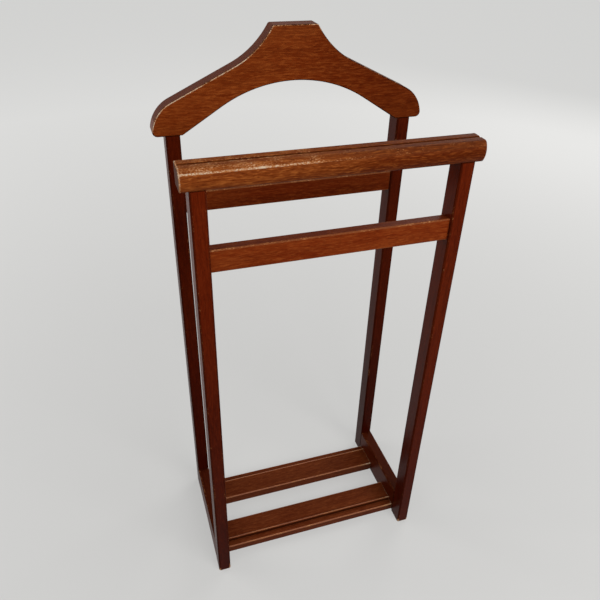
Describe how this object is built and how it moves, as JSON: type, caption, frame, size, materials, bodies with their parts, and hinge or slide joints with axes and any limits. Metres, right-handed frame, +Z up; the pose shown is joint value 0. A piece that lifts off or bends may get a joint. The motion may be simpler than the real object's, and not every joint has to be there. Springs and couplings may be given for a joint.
{
  "type": "clothes valet stand",
  "caption": "Free-standing wooden clothes valet with a shaped jacket hanger board, a moulded trouser bar, cross rails, low side stretchers and shoe slats.",
  "frame": {"origin": "on the floor, under the middle of the stand's bounding box", "axes": "+X to the stand's right as seen from the front, -Y towards the person in front of it, +Z up"},
  "size_m": [0.454, 0.2504, 0.974],
  "materials": {
    "post_wood": "satin lacquer over a red-brown stain, grain upright",
    "hanger_wood": "satin lacquer over a red-brown stain, open pores, grain along the board",
    "rail_wood": "satin lacquer over a red-brown stain, open pores, grain along the rail",
    "stretcher_wood": "satin lacquer over a red-brown stain, grain front to back",
    "slat_wood": "satin lacquer over a red-brown stain, worn dull, grain along the slat",
    "dowel_beech": "plain unfinished beech"
  },
  "bodies": {
    "root": {"front_left_post": "post_wood", "front_right_post": "post_wood", "rear_left_post": "post_wood", "rear_right_post": "post_wood", "hanger_board": "hanger_wood", "trouser_bar": "rail_wood", "front_cross_rail": "rail_wood", "rear_cross_rail": "rail_wood", "left_side_stretcher": "stretcher_wood", "right_side_stretcher": "stretcher_wood", "front_shoe_slat": "slat_wood", "rear_shoe_slat": "slat_wood", "hanger_dowels": "dowel_beech", "trouser_bar_dowels": "dowel_beech", "front_rail_dowels": "dowel_beech", "rear_rail_dowels": "dowel_beech", "left_stretcher_dowels": "dowel_beech", "right_stretcher_dowels": "dowel_beech", "front_slat_dowels": "dowel_beech", "rear_slat_dowels": "dowel_beech"}
  },
  "joints": []
}
